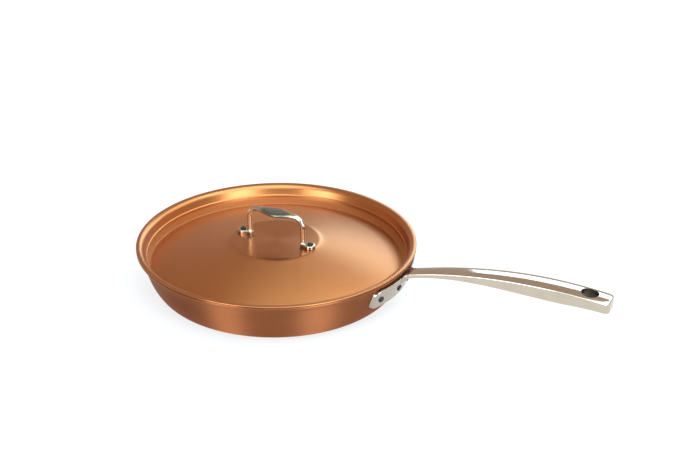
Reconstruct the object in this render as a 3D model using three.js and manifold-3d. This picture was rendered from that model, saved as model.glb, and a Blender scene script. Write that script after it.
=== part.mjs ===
// A copper frying pan with a cast steel handle, and the copper lid that rests in its lip.
// Millimetres, +Z up. The origin lies on the pan's axis, on the underside of its base, and the
// handle points along +X.
import * as THREE from "three";
import { mergeVertices } from "three/addons/utils/BufferGeometryUtils.js";
import Module from "manifold-3d";

const wasm = await Module();
wasm.setup();
const { clamp, degToRad, lerp, radToDeg, smoothstep } = THREE.MathUtils;

// Pan body, measured on its outside. A lean is the wall's angle from upright, in degrees.
const PAN_RIM_RADIUS = 140;
const PAN_HEIGHT = 45.1;
const PAN_CORNER_RADIUS = 22;
const PAN_BELLY_RADIUS = 64;
const PAN_LIP_RADIUS = 2.1;
const PAN_LIP_LAND = 2;
const BELLY_LEAN = 34;
const WALL_LEAN = 18;
const LIP_LEAN = 92;
const PAN_COPPER = 2;
const PAN_LINING = 0.35;

// Lid
const LID_COPPER = 0.8;
const LID_LINING = 0.35;
const LID_COLLAR = 6.4;
const LID_WALL_LEAN = 28;
const LID_WALL_LENGTH = 4.9;
const LID_VALLEY_RADIUS = 5;
const LID_DOME_RADIUS = 369;
const PLATEAU_RADIUS = 44;
const PLATEAU_RUN = 4;
const PLATEAU_RISE = 0.9;
const LID_TURN = -6;

// Pan handle: a curved flange on the wall and an arched bar
const FLANGE_HALF_ANGLE = 21.2;
const FLANGE_TOP_DROP = 4.2;
const FLANGE_HEIGHT = 20.5;
const FLANGE_CORNER_RADIUS = 6;
const FLANGE_MIDDLE_THICKNESS = 5.5;
const FLANGE_END_THICKNESS = 3.8;
const HANDLE_LENGTH = 205;
const HANDLE_ROOT_WIDTH = 16;
const HANDLE_GRIP_WIDTH = 24.4;
const HANDLE_ROOT_HEIGHT = 5.6;
const HANDLE_GRIP_HEIGHT = 14.4;
const HANDLE_END_HEIGHT = 11.6;
const HANDLE_ROOT_DROP = 5.2;
const HANDLE_END_LIFT = 7.8;
const HANDLE_ARCH = 12;
const HANDLE_CROWN = 0.4;
const HANDLE_TOP_EDGE_RADIUS = 1.8;
const HANDLE_LOWER_EDGE_RADIUS = 2.6;
const HANDLE_ROOT_FILLET = 6;
const HANDLE_END_CORNER_RADIUS = 6.5;
const HANGING_HOLE_RADIUS = 8.5;
const HANGING_HOLE_INSET = 21.5;

// Lid handle
const LID_LEG_SPACING = 61.2;
const LID_LEG_RADIUS = 2.5;
const LID_BEND_RADIUS = 10;
const LID_GRIP_HEIGHT = 29.4;
const LID_GRIP_WIDTH = 17.5;
const LID_GRIP_THICKNESS = 3.8;
const LUG_RADIUS = 5.6;
const LUG_THICKNESS = 3.2;
const LUG_FOOT_RADIUS = 3.4;

// Rivets
const RIVET_DROP = 14.3;
const RIVET_ANGLES = [-17.8, -4.8, 4.8, 17.8];
const RIVET_RADIUS = 3.1;
const RIVET_HEAD_RADIUS = 3.9;
const RIVET_HEAD_HEIGHT = 0.5;
const RIVET_END_STAND = 1.4;
const LID_RIVET_SPACING = 77;
const LID_RIVET_RADIUS = 2.8;

// Clearances
const BOND_GAP = 0.15;
const SEAT_GAP = 0.3;
const RIVET_GAP = 0.15;

// Facets round the body, round a rivet and round the hanging hole
const BODY_FACETS = 60;
const RIVET_FACETS = 12;
const HOLE_FACETS = 24;

const PAN_SHEET = PAN_COPPER + BOND_GAP + PAN_LINING;
const LID_SHEET = LID_COPPER + BOND_GAP + LID_LINING;

const copper = new THREE.MeshStandardMaterial({ color: 0xc07a4e, metalness: 1, roughness: 0.35 });
const liningSteel = new THREE.MeshStandardMaterial({ color: 0xb9b8b5, metalness: 1, roughness: 0.45 });
const castSteel = new THREE.MeshStandardMaterial({ color: 0xcfc8ba, metalness: 1, roughness: 0.2 });
const rivetSteel = new THREE.MeshStandardMaterial({ color: 0x3b3a38, metalness: 1, roughness: 0.35 });

// Joins and cuts closed geometries.
function toSolid(geometry) {
  const bare = new THREE.BufferGeometry();
  bare.setAttribute("position", geometry.getAttribute("position"));
  bare.setIndex(geometry.getIndex());
  const merged = mergeVertices(bare, 1e-4);
  const vertProperties = merged.getAttribute("position").array;
  const triVerts = new Uint32Array(merged.getIndex().array);
  return new wasm.Manifold(new wasm.Mesh({ numProp: 3, vertProperties, triVerts }));
}

function toGeometry(solid) {
  const { vertProperties, triVerts } = solid.getMesh();
  const geometry = new THREE.BufferGeometry();
  geometry.setAttribute("position", new THREE.BufferAttribute(vertProperties, 3));
  geometry.setIndex(new THREE.BufferAttribute(triVerts, 1));
  geometry.computeVertexNormals();
  return geometry;
}

function cut(solid, cutters) {
  return cutters.reduce((left, cutter) => left.subtract(toSolid(cutter)), solid);
}

function piece(name, geometry, material) {
  const mesh = new THREE.Mesh(geometry, material);
  mesh.name = name;
  return mesh;
}

// Points of an arc in the (radius, height) plane, from one direction to another in degrees.
function arc(centre, radius, from, to, steps) {
  const clockwise = to < from;
  const curve = new THREE.EllipseCurve(
    centre.x,
    centre.y,
    radius,
    radius,
    degToRad(from),
    degToRad(to),
    clockwise,
  );
  return curve.getPoints(steps);
}

// The outward direction of a wall that leans out by an angle, and the direction up along it.
const outOf = (lean) => new THREE.Vector2(Math.cos(degToRad(lean)), -Math.sin(degToRad(lean)));
const along = (lean) => new THREE.Vector2(Math.sin(degToRad(lean)), Math.cos(degToRad(lean)));
const step = (from, direction, distance) => from.clone().addScaledVector(direction, distance);

// Turns a closed (radius, height) outline about the Z axis.
function revolve(outline, facets = BODY_FACETS) {
  return new THREE.LatheGeometry(outline, facets).rotateX(Math.PI / 2);
}

function cylinder(radius, from, to, facets) {
  const outline = [
    [0, from],
    [radius, from],
    [radius, to],
    [0, to],
  ];
  return revolve(
    outline.map(([r, z]) => new THREE.Vector2(r, z)),
    facets,
  );
}

// Skins a row of rings that have the same number of points into one closed geometry.
function loft(rings) {
  const size = rings[0].length;
  const last = (rings.length - 1) * size;
  const index = [];
  for (let ring = 0; ring < last; ring += size) {
    for (let j = 0; j < size; j += 1) {
      const a = ring + j;
      const b = ring + ((j + 1) % size);
      index.push(a, b, b + size, a, b + size, a + size);
    }
  }
  for (let j = 1; j + 1 < size; j += 1) {
    index.push(0, j + 1, j);
    index.push(last, last + j, last + j + 1);
  }
  return new THREE.BufferGeometry().setFromPoints(rings.flat()).setIndex(index);
}

// The pan's outside runs from the flat base through the corner, the belly, a straight wall and the
// lip's curl with a short flat land, each tangent to the next. The base and the straight wall take up
// what is left.
const cornerRise = PAN_CORNER_RADIUS * (1 - Math.sin(degToRad(BELLY_LEAN)));
const cornerRun = PAN_CORNER_RADIUS * Math.cos(degToRad(BELLY_LEAN));
const bellyTurn = {
  run: PAN_BELLY_RADIUS * (outOf(WALL_LEAN).x - outOf(BELLY_LEAN).x),
  rise: PAN_BELLY_RADIUS * (along(BELLY_LEAN).x - along(WALL_LEAN).x),
};
const lipTurn = {
  run: PAN_LIP_RADIUS * (outOf(WALL_LEAN).x - outOf(LIP_LEAN).x) + PAN_LIP_LAND * along(LIP_LEAN).x,
  rise: PAN_LIP_RADIUS * (along(LIP_LEAN).x - along(WALL_LEAN).x) + PAN_LIP_LAND * along(LIP_LEAN).y,
};
const wallRise = PAN_HEIGHT - cornerRise - bellyTurn.rise - lipTurn.rise;
const wallRun = wallRise * Math.tan(degToRad(WALL_LEAN));
const baseRadius = PAN_RIM_RADIUS - cornerRun - bellyTurn.run - wallRun - lipTurn.run;

const cornerCentre = new THREE.Vector2(baseRadius, PAN_CORNER_RADIUS);
const bellyCentre = step(cornerCentre, outOf(BELLY_LEAN), PAN_CORNER_RADIUS - PAN_BELLY_RADIUS);
const wallFoot = step(bellyCentre, outOf(WALL_LEAN), PAN_BELLY_RADIUS);
const wallHead = new THREE.Vector2(wallFoot.x + wallRun, wallFoot.y + wallRise);
const lipCentre = step(wallHead, outOf(WALL_LEAN), PAN_LIP_RADIUS);

// The lip's curl and its land, at a depth inside the pan's outer face.
function lipSkin(depth) {
  const curl = arc(lipCentre, PAN_LIP_RADIUS + depth, 180 - WALL_LEAN, 180 - LIP_LEAN, 2);
  return [...curl, step(curl.at(-1), along(LIP_LEAN), PAN_LIP_LAND)];
}

// The pan's section from the axis to the lip's edge, at a depth inside its outer face.
function panSkin(depth) {
  return [
    new THREE.Vector2(0, depth),
    ...arc(cornerCentre, PAN_CORNER_RADIUS - depth, -90, -BELLY_LEAN, 3),
    ...arc(bellyCentre, PAN_BELLY_RADIUS - depth, -BELLY_LEAN, -WALL_LEAN, 2).slice(1),
    ...lipSkin(depth),
  ];
}

// Radius of the straight wall's outer face at a height.
const wallRadius = (height) => wallFoot.x + (height - wallFoot.y) * Math.tan(degToRad(WALL_LEAN));

// The lid's flare lies along the inside of the pan's lip. Its collar goes on down the wall, then the
// lid turns in to a valley, and a shallow dome rises from there to the plateau.
const lidDepth = PAN_SHEET + SEAT_GAP + LID_SHEET;
const flareFoot = step(lipCentre, outOf(WALL_LEAN), -PAN_LIP_RADIUS - lidDepth);
const collarFoot = step(flareFoot, along(WALL_LEAN), -LID_COLLAR);
const lidWallFoot = step(collarFoot, along(LID_WALL_LEAN), -LID_WALL_LENGTH);
const valleyCentre = step(lidWallFoot, outOf(LID_WALL_LEAN), -LID_VALLEY_RADIUS);
const domeSlope = Math.asin(valleyCentre.x / (LID_DOME_RADIUS + LID_VALLEY_RADIUS));
const domeTurn = radToDeg(domeSlope);
const domeCentre = new THREE.Vector2(
  0,
  valleyCentre.y - (LID_DOME_RADIUS + LID_VALLEY_RADIUS) * Math.cos(domeSlope),
);
const domeHead = Math.asin((PLATEAU_RADIUS + PLATEAU_RUN) / LID_DOME_RADIUS);
const domeHeadTurn = radToDeg(domeHead);
const plateauHeight = domeCentre.y + LID_DOME_RADIUS * Math.cos(domeHead) + PLATEAU_RISE;

// The lid's section from the axis to the rim's edge, at a depth under its upper face.
function lidSkin(depth) {
  const collarTurn = (LID_WALL_LEAN - WALL_LEAN) / 2;
  const collarDepth = depth / Math.cos(degToRad(collarTurn));
  return [
    new THREE.Vector2(0, plateauHeight - depth),
    new THREE.Vector2(PLATEAU_RADIUS, plateauHeight - depth),
    ...arc(domeCentre, LID_DOME_RADIUS - depth, 90 - domeHeadTurn, 90 - domeTurn, 2),
    ...arc(valleyCentre, LID_VALLEY_RADIUS + depth, -90 - domeTurn, -LID_WALL_LEAN, 3).slice(1),
    step(collarFoot, outOf(WALL_LEAN + collarTurn), collarDepth),
    ...lipSkin(lidDepth - depth),
  ];
}

// A rivet along +Z. Its low head bears on the lining at height 0, and its end stands proud of the
// outer piece after the given grip.
function rivetGeometry(radius, grip) {
  const outline = [
    [0, -SEAT_GAP - RIVET_HEAD_HEIGHT],
    [RIVET_HEAD_RADIUS * 0.75, -SEAT_GAP - RIVET_HEAD_HEIGHT],
    [RIVET_HEAD_RADIUS, -SEAT_GAP - RIVET_HEAD_HEIGHT / 3],
    [RIVET_HEAD_RADIUS, -SEAT_GAP],
    [radius, -SEAT_GAP],
    [radius, grip + RIVET_END_STAND / 3],
    [radius * 0.75, grip + RIVET_END_STAND],
    [0, grip + RIVET_END_STAND],
  ];
  return revolve(
    outline.map(([r, z]) => new THREE.Vector2(r, z)),
    RIVET_FACETS,
  );
}

// The hole for a rivet, long enough to pass through everything that it holds.
function rivetHole(radius, grip, place) {
  return cylinder(radius + RIVET_GAP, -grip, 3 * grip, RIVET_FACETS).applyMatrix4(place);
}

// Flange: the space between the pan's wall and a second, tighter round face about an axis nearer the
// handle, so that the flange is thickest under the bar.
const flangeTop = PAN_HEIGHT - FLANGE_TOP_DROP;
const flangeFoot = flangeTop - FLANGE_HEIGHT;
const flangeMiddle = wallRadius(flangeTop) + FLANGE_MIDDLE_THICKNESS;
const flangeEnd = wallRadius(flangeTop) + FLANGE_END_THICKNESS;
const flangeAxis =
  (flangeMiddle ** 2 - flangeEnd ** 2) /
  (2 * (flangeMiddle - flangeEnd * Math.cos(degToRad(FLANGE_HALF_ANGLE))));

// Distance of the flange's outer face from the pan's axis at a height, in a direction from +X.
function flangeReach(height, angle) {
  const lean = (height - flangeTop) * Math.tan(degToRad(WALL_LEAN));
  const radius = flangeMiddle - flangeAxis + lean;
  const across = flangeAxis * Math.sin(degToRad(angle));
  return flangeAxis * Math.cos(degToRad(angle)) + Math.sqrt(radius ** 2 - across ** 2);
}

function flangeSolid() {
  const halfWidth = flangeEnd * Math.sin(degToRad(FLANGE_HALF_ANGLE));
  const r = FLANGE_CORNER_RADIUS;
  const outline = new THREE.Shape();
  outline.absarc(halfWidth - r, flangeTop - r, r, 0, Math.PI / 2);
  outline.absarc(r - halfWidth, flangeTop - r, r, Math.PI / 2, Math.PI);
  outline.absarc(r - halfWidth, flangeFoot + r, r, Math.PI, Math.PI * 1.5);
  outline.absarc(halfWidth - r, flangeFoot + r, r, Math.PI * 1.5, Math.PI * 2);
  const plate = new THREE.ExtrudeGeometry(outline, {
    depth: PAN_RIM_RADIUS,
    bevelEnabled: false,
    curveSegments: 3,
  });
  // The outline's across and up become Y and Z, and the extrusion runs along X.
  const turn = new THREE.Matrix4().makeBasis(
    new THREE.Vector3(0, 1, 0),
    new THREE.Vector3(0, 0, 1),
    new THREE.Vector3(1, 0, 0),
  );
  plate.applyMatrix4(turn).translate(PAN_RIM_RADIUS / 2, 0, 0);
  const below = flangeFoot - FLANGE_HEIGHT;
  const above = flangeTop + FLANGE_HEIGHT;
  const faceRadius = (height) => flangeReach(height, 0) - flangeAxis;
  const face = revolve(
    [
      new THREE.Vector2(0, below),
      new THREE.Vector2(faceRadius(below), below),
      new THREE.Vector2(faceRadius(above), above),
      new THREE.Vector2(0, above),
    ],
    2 * BODY_FACETS,
  ).translate(flangeAxis, 0, 0);
  return toSolid(plate).intersect(toSolid(face));
}

// Bar: widths, heights and the arched top as functions of the reach from the pan's axis.
const barStart = wallRadius(flangeFoot);
const barEnd = PAN_RIM_RADIUS + HANDLE_LENGTH;
const gripStart = PAN_RIM_RADIUS + HANDLE_LENGTH * 0.05;
const gripMiddle = PAN_RIM_RADIUS + HANDLE_LENGTH * 0.73;
const filletStart = flangeReach(flangeTop, 0);

function barTop(reach) {
  const share = (reach - barStart) / (barEnd - barStart);
  const chord = lerp(PAN_HEIGHT - HANDLE_ROOT_DROP, PAN_HEIGHT + HANDLE_END_LIFT, share);
  return chord + 4 * HANDLE_ARCH * share * (1 - share);
}

// How far the fillet at the bar's root spreads from the bar's sides.
function rootSpread(reach) {
  const left = clamp(filletStart + HANDLE_ROOT_FILLET - reach, 0, HANDLE_ROOT_FILLET);
  return HANDLE_ROOT_FILLET - Math.sqrt(HANDLE_ROOT_FILLET ** 2 - left ** 2);
}

// How far the rounded corners draw in the bar's end.
function endDrawIn(reach) {
  const past = clamp(reach - (barEnd - HANDLE_END_CORNER_RADIUS), 0, HANDLE_END_CORNER_RADIUS);
  return HANDLE_END_CORNER_RADIUS - Math.sqrt(HANDLE_END_CORNER_RADIUS ** 2 - past ** 2);
}

function barHalfWidth(reach) {
  const swell = smoothstep(reach, barStart, gripMiddle);
  const width = lerp(HANDLE_ROOT_WIDTH, HANDLE_GRIP_WIDTH, swell);
  return width / 2 + rootSpread(reach) - endDrawIn(reach);
}

function barHeight(reach) {
  const swell = smoothstep(reach, gripStart, gripMiddle);
  const taper = smoothstep(reach, gripMiddle, barEnd);
  const height = lerp(HANDLE_ROOT_HEIGHT, HANDLE_GRIP_HEIGHT, swell);
  return lerp(height, HANDLE_END_HEIGHT, taper) + rootSpread(reach);
}

// A rounded section with a softly crowned top.
function barRing(reach) {
  const half = barHalfWidth(reach);
  const top = barTop(reach);
  const foot = top - barHeight(reach);
  const r = HANDLE_TOP_EDGE_RADIUS;
  const lower = Math.min(HANDLE_LOWER_EDGE_RADIUS, top - foot - r);
  const points = [
    new THREE.Vector2(0, top + HANDLE_CROWN),
    ...arc(new THREE.Vector2(r - half, top - r), r, 90, 180, 3),
    ...arc(new THREE.Vector2(lower - half, foot + lower), lower, 180, 270, 3),
    ...arc(new THREE.Vector2(half - lower, foot + lower), lower, 270, 360, 3),
    ...arc(new THREE.Vector2(half - r, top - r), r, 0, 90, 3),
  ];
  return points.map((p) => new THREE.Vector3(reach, p.x, p.y));
}

function barGeometry() {
  const reaches = [barStart, filletStart];
  for (const share of [0.12, 0.3, 0.55, 1]) {
    reaches.push(filletStart + HANDLE_ROOT_FILLET * share);
  }
  const spanStart = filletStart + HANDLE_ROOT_FILLET;
  const spanEnd = barEnd - HANDLE_END_CORNER_RADIUS;
  const spans = 10;
  for (let i = 1; i <= spans; i += 1) {
    reaches.push(lerp(spanStart, spanEnd, i / spans));
  }
  for (const turn of [25, 50, 70, 90]) {
    reaches.push(spanEnd + HANDLE_END_CORNER_RADIUS * Math.sin(degToRad(turn)));
  }
  return loft(reaches.map(barRing));
}

// The hanging hole runs square to the top of the bar.
function hangingHole() {
  const reach = barEnd - HANGING_HOLE_INSET;
  const slope = Math.atan(barTop(reach + 0.5) - barTop(reach - 0.5));
  return cylinder(HANGING_HOLE_RADIUS, -HANDLE_GRIP_HEIGHT * 2, HANDLE_GRIP_HEIGHT, HOLE_FACETS)
    .rotateY(-slope)
    .translate(reach, 0, barTop(reach));
}

// Handle rivets stand square to the wall. Each starts on the lining and ends past the flange.
const rivetHeight = PAN_HEIGHT - RIVET_DROP;
const handleRivets = RIVET_ANGLES.map((angle) => {
  const seat = step(new THREE.Vector2(wallRadius(rivetHeight), rivetHeight), outOf(WALL_LEAN), -PAN_SHEET);
  const place = new THREE.Matrix4()
    .makeRotationZ(degToRad(angle))
    .multiply(new THREE.Matrix4().makeTranslation(seat.x, 0, seat.y))
    .multiply(new THREE.Matrix4().makeRotationY(degToRad(90 + WALL_LEAN)));
  const cover = flangeReach(rivetHeight, angle) - wallRadius(rivetHeight);
  const grip = PAN_SHEET + cover * Math.cos(degToRad(WALL_LEAN));
  return { place, grip, hole: rivetHole(RIVET_RADIUS, grip, place) };
});
const handleHoles = handleRivets.map((rivet) => rivet.hole);

const pan = new THREE.Group();

const panShell = revolve([...panSkin(0), ...panSkin(PAN_COPPER).reverse()]);
pan.add(piece("pan_shell", toGeometry(cut(toSolid(panShell), handleHoles)), copper));

const panLining = revolve([...panSkin(PAN_COPPER + BOND_GAP), ...panSkin(PAN_SHEET).reverse()]);
pan.add(piece("pan_lining", toGeometry(cut(toSolid(panLining), handleHoles)), liningSteel));

const panSkinWithGap = panSkin(-SEAT_GAP);
const panSpace = revolve([...panSkinWithGap, new THREE.Vector2(0, panSkinWithGap.at(-1).y)]);
const casting = flangeSolid().add(toSolid(barGeometry()));
const handleCutters = [panSpace, hangingHole(), ...handleHoles];
pan.add(piece("pan_handle", toGeometry(cut(casting, handleCutters)), castSteel));

handleRivets.forEach((rivet, i) => {
  const mesh = piece("handle_rivet_" + (i + 1), rivetGeometry(RIVET_RADIUS, rivet.grip), rivetSteel);
  mesh.applyMatrix4(rivet.place);
  pan.add(mesh);
});

// Lid rivets stand upright through the lugs of the lid's handle.
const lugFoot = plateauHeight + SEAT_GAP;
const lidRivetGrip = LID_SHEET + SEAT_GAP + LUG_THICKNESS;
const lidRivetPlaces = [-1, 1].map((side) =>
  new THREE.Matrix4().makeTranslation((side * LID_RIVET_SPACING) / 2, 0, plateauHeight - LID_SHEET),
);
const lidHoles = lidRivetPlaces.map((place) => rivetHole(LID_RIVET_RADIUS, lidRivetGrip, place));

// The lid's handle: a rod up each leg that spreads into a flat leaf between the two bends.
function gripGeometry() {
  const half = LID_LEG_SPACING / 2;
  const bend = LID_BEND_RADIUS;
  const head = lugFoot + LID_GRIP_HEIGHT;
  const foot = lugFoot + LUG_THICKNESS / 2;
  const spine = new THREE.Path();
  spine.moveTo(-half, foot);
  spine.lineTo(-half, head - bend);
  spine.absarc(bend - half, head - bend, bend, Math.PI, Math.PI / 2, true);
  spine.lineTo(half - bend, head);
  spine.absarc(half - bend, head - bend, bend, Math.PI / 2, 0, true);
  spine.lineTo(half, foot);
  const leafReach = half - bend / 2;
  const stations = 26;
  const sides = 12;
  const rings = [];
  for (let i = 0; i <= stations; i += 1) {
    const at = spine.getPointAt(i / stations);
    const tangent = spine.getTangentAt(i / stations);
    const near = Math.max(0, 1 - Math.abs(at.x) / leafReach);
    const leaf = Math.sin((near * Math.PI) / 2) ** 2;
    const halfWidth = lerp(LID_LEG_RADIUS, LID_GRIP_WIDTH / 2, leaf);
    const halfThickness = lerp(LID_LEG_RADIUS, LID_GRIP_THICKNESS / 2, leaf);
    const ring = [];
    for (let j = 0; j < sides; j += 1) {
      const angle = (j / sides) * Math.PI * 2;
      const lift = Math.cos(angle) * halfThickness;
      const side = -Math.sin(angle) * halfWidth;
      ring.push(new THREE.Vector3(at.x - tangent.y * lift, side, at.y + tangent.x * lift));
    }
    rings.push(ring);
  }
  return loft(rings);
}

// A lug: a round pad about the rivet that narrows to the foot of its leg.
function lugGeometry(side) {
  const rivetAt = LID_RIVET_SPACING / 2;
  const legAt = LID_LEG_SPACING / 2;
  const lean = Math.asin((LUG_RADIUS - LUG_FOOT_RADIUS) / (rivetAt - legAt));
  const turn = Math.PI / 2 + lean;
  const outline = new THREE.Shape();
  outline.absarc(rivetAt, 0, LUG_RADIUS, -turn, turn);
  outline.absarc(legAt, 0, LUG_FOOT_RADIUS, turn, 2 * Math.PI - turn);
  const pad = new THREE.ExtrudeGeometry(outline, {
    depth: LUG_THICKNESS,
    bevelEnabled: false,
    curveSegments: 7,
  });
  return pad.translate(0, 0, lugFoot).rotateZ(side > 0 ? 0 : Math.PI);
}

const lid = new THREE.Group();
lid.rotation.z = degToRad(LID_TURN);

const lidShell = revolve([...lidSkin(LID_COPPER), ...lidSkin(0).reverse()]);
lid.add(piece("lid_shell", toGeometry(cut(toSolid(lidShell), lidHoles)), copper));

const lidLining = revolve([...lidSkin(LID_SHEET), ...lidSkin(LID_COPPER + BOND_GAP).reverse()]);
lid.add(piece("lid_lining", toGeometry(cut(toSolid(lidLining), lidHoles)), liningSteel));

const bail = toSolid(gripGeometry()).add(toSolid(lugGeometry(-1))).add(toSolid(lugGeometry(1)));
lid.add(piece("lid_handle", toGeometry(cut(bail, lidHoles)), castSteel));

lidRivetPlaces.forEach((place, i) => {
  const mesh = piece("lid_rivet_" + (i + 1), rivetGeometry(LID_RIVET_RADIUS, lidRivetGrip), rivetSteel);
  mesh.applyMatrix4(place);
  lid.add(mesh);
});

const fryingPan = new THREE.Group();
fryingPan.add(pan, lid);

export default fryingPan;
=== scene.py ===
import math

import bpy
from mathutils import Matrix, Quaternion, Vector


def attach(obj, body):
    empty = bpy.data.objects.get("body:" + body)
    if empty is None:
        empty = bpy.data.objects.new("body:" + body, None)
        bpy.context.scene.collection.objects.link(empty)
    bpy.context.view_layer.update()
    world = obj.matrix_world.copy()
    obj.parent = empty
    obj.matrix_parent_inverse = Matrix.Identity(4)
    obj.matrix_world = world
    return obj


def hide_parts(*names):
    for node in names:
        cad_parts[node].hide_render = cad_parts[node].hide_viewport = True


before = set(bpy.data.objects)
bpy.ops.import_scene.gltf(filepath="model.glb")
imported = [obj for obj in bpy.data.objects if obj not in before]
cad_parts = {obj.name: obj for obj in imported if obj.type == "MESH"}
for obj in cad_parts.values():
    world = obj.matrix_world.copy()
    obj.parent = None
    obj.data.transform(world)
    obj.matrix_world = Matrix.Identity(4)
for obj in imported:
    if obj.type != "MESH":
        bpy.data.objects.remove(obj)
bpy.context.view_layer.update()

# The pan's body is a copper disc, spun over a former into a flat base, a round corner, a leaning
# wall and a pouring lip that curls outward. The lathe leaves it satin, with fine rings all round.
# Sizes of the pan and lid are in millimetres, angles in degrees.
RIM_RADIUS = 140
PAN_HEIGHT = 45.1
CORNER_RADIUS = 22
BELLY_RADIUS = 64
LIP_RADIUS = 2.1
LIP_LAND = 2
BELLY_LEAN = 34
WALL_LEAN = 18
LIP_LEAN = 92
PAN_COPPER = 2.12
PAN_SHEET = 2.5
LIP_EDGE_RADIUS = 1.2
CORNER_STEPS = 14
BELLY_STEPS = 8
CURL_STEPS = 14
LAND_STEPS = 4
EDGE_STEPS = 4
FOLD_POINTS = 9


def out_of(lean):
    """Direction square to a wall that leans out by an angle, pointing out and down."""
    return Vector((math.cos(math.radians(lean)), -math.sin(math.radians(lean))))


def up_along(lean):
    """Direction up along a wall that leans out by an angle."""
    return Vector((math.sin(math.radians(lean)), math.cos(math.radians(lean))))


def arc(centre, radius, start, end, steps):
    """Points of an arc between two directions in degrees."""
    points = []
    for i in range(steps + 1):
        turn = math.radians(start + (end - start) * i / steps)
        x = centre[0] + radius * math.cos(turn)
        y = centre[1] + radius * math.sin(turn)
        points.append(Vector((x, y)))
    return points


lip_run = LIP_RADIUS * (out_of(WALL_LEAN).x - out_of(LIP_LEAN).x)
lip_run += LIP_LAND * up_along(LIP_LEAN).x
lip_rise = LIP_RADIUS * (up_along(LIP_LEAN).x - up_along(WALL_LEAN).x)
lip_rise += LIP_LAND * up_along(LIP_LEAN).y
belly_run = BELLY_RADIUS * (out_of(WALL_LEAN).x - out_of(BELLY_LEAN).x)
belly_rise = BELLY_RADIUS * (up_along(BELLY_LEAN).x - up_along(WALL_LEAN).x)
corner_run = CORNER_RADIUS * out_of(BELLY_LEAN).x
corner_rise = CORNER_RADIUS * (1 - up_along(BELLY_LEAN).x)
wall_rise = PAN_HEIGHT - corner_rise - belly_rise - lip_rise
wall_run = wall_rise * math.tan(math.radians(WALL_LEAN))
base_radius = RIM_RADIUS - corner_run - belly_run - wall_run - lip_run
corner_centre = Vector((base_radius, CORNER_RADIUS))
belly_centre = corner_centre + out_of(BELLY_LEAN) * (CORNER_RADIUS - BELLY_RADIUS)
wall_foot = belly_centre + out_of(WALL_LEAN) * BELLY_RADIUS
lip_centre = wall_foot + Vector((wall_run, wall_rise)) + out_of(WALL_LEAN) * LIP_RADIUS


def lip_skin(depth, short=0.0):
    """The lip's curl and its short flat land, at a depth inside the pan's outer face. The land can
    stop short of its end, to leave room for a rounded edge."""
    curl = arc(lip_centre, LIP_RADIUS + depth, 180 - WALL_LEAN, 180 - LIP_LEAN, CURL_STEPS)
    land = [(LIP_LAND - short) * i / LAND_STEPS for i in range(1, LAND_STEPS + 1)]
    return curl + [curl[-1] + up_along(LIP_LEAN) * length for length in land]


def pan_skin(depth, short=0.0):
    """The pan's section from its axis to the lip, at a depth inside the outer face."""
    points = [Vector((0, depth)), Vector((base_radius / 2, depth))]
    points += arc(corner_centre, CORNER_RADIUS - depth, -90, -BELLY_LEAN, CORNER_STEPS)
    points += arc(belly_centre, BELLY_RADIUS - depth, -BELLY_LEAN, -WALL_LEAN, BELLY_STEPS)[1:]
    return points + lip_skin(depth, short)


def sheet_edge(first, last, lean, radius):
    """The rounded edge of a sheet between the ends of its two skins."""
    ahead = up_along(lean)
    across = (last - first).normalized()
    near = first + across * radius - ahead * radius
    far = last - across * radius - ahead * radius
    points = []
    for centre, start, end in ((near, -across, ahead), (far, ahead, across)):
        for i in range(EDGE_STEPS + 1):
            turn = math.radians(90 * i / EDGE_STEPS)
            points.append(centre + radius * (start * math.cos(turn) + end * math.sin(turn)))
    return points


def show(name, points, faces, sharp=35):
    """Makes a piece from points in millimetres, smooth except at folds sharper than an angle."""
    mesh = bpy.data.meshes.new(name)
    mesh.from_pydata([Vector(p) / 1000 for p in points], [], faces)
    mesh.shade_smooth()
    mesh.set_sharp_from_angle(angle=math.radians(sharp))
    piece = bpy.data.objects.new(name, mesh)
    bpy.context.scene.collection.objects.link(piece)
    return piece


def spin(name, outline, steps=240):
    """Turns a closed outline of radius and height about the Z axis."""
    points, rings, faces = [], [], []
    for p in outline:
        count = 1 if p.x < 1e-6 else steps
        rings.append((len(points), count))
        for i in range(count):
            turn = 2 * math.pi * i / steps
            points.append((p.x * math.cos(turn), p.x * math.sin(turn), p.y))
    pairs = list(zip(rings, rings[1:]))
    if rings[0][1] > 1:
        pairs.append((rings[-1], rings[0]))
    for (low, low_count), (high, high_count) in pairs:
        for i in range(steps):
            j = (i + 1) % steps
            quad = [low + i % low_count, low + j % low_count]
            quad += [high + j % high_count, high + i % high_count]
            face = list(dict.fromkeys(quad))
            if len(face) > 2:
                faces.append(face)
    return show(name, points, faces)


def linear(colour):
    """Linear red, green, blue and alpha of an sRGB hex value."""
    parts = [int(colour[i : i + 2], 16) / 255 for i in (1, 3, 5)]
    return [c / 12.92 if c <= 0.04045 else ((c + 0.055) / 1.055) ** 2.4 for c in parts] + [1]


def add(tree, kind, inputs=None, **settings):
    """Adds a node with its settings, and sets or links its inputs."""
    node = tree.nodes.new(kind)
    for key, value in settings.items():
        setattr(node, key, value)
    for key, value in (inputs or {}).items():
        if isinstance(value, bpy.types.NodeSocket):
            tree.links.new(value, node.inputs[key])
        else:
            node.inputs[key].default_value = value
    return node


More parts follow.
